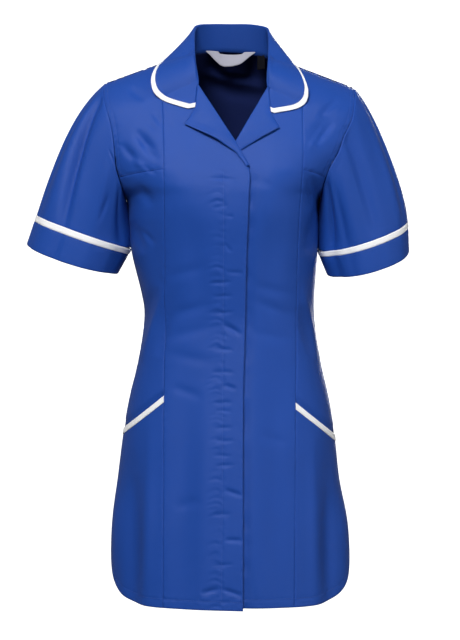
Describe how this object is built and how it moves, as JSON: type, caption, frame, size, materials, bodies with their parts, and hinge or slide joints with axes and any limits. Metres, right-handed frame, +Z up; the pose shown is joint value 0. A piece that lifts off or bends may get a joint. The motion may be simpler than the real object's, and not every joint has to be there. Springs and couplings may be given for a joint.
{
  "type": "medical tunic",
  "caption": "Short-sleeved women's healthcare tunic in royal blue with a white-bound revers collar, white cuff bands, bound slanted pockets and a concealed front fastening, in worn hollow form.",
  "frame": {"origin": "middle between the two shoulder neck points, where the tunic rests on its wearer's shoulders", "axes": "+Z up, -Y towards the front, +X towards the wearer's left"},
  "size_m": [0.5725, 0.2663, 0.872],
  "materials": {
    "blue_cloth": "matt twill",
    "white_trim": "matt woven binding",
    "grey_label": "smooth woven label",
    "black_tag": "smooth woven tag"
  },
  "bodies": {
    "root": {"front_right": "blue_cloth", "front_left": "blue_cloth", "chest_right": "blue_cloth", "chest_left": "blue_cloth", "side_front_right": "blue_cloth", "side_front_left": "blue_cloth", "pocket_front_right": "blue_cloth", "pocket_front_left": "blue_cloth", "pocket_binding_right": "white_trim", "pocket_binding_left": "white_trim", "back": "blue_cloth", "sleeve_right": "blue_cloth", "sleeve_left": "blue_cloth", "cuff_band_right": "white_trim", "cuff_band_left": "white_trim", "cuff_right": "blue_cloth", "cuff_left": "blue_cloth", "collar": "blue_cloth", "collar_binding": "white_trim", "lapel_right": "blue_cloth", "lapel_left": "blue_cloth", "neck_label": "grey_label", "size_tag": "black_tag"}
  },
  "joints": []
}
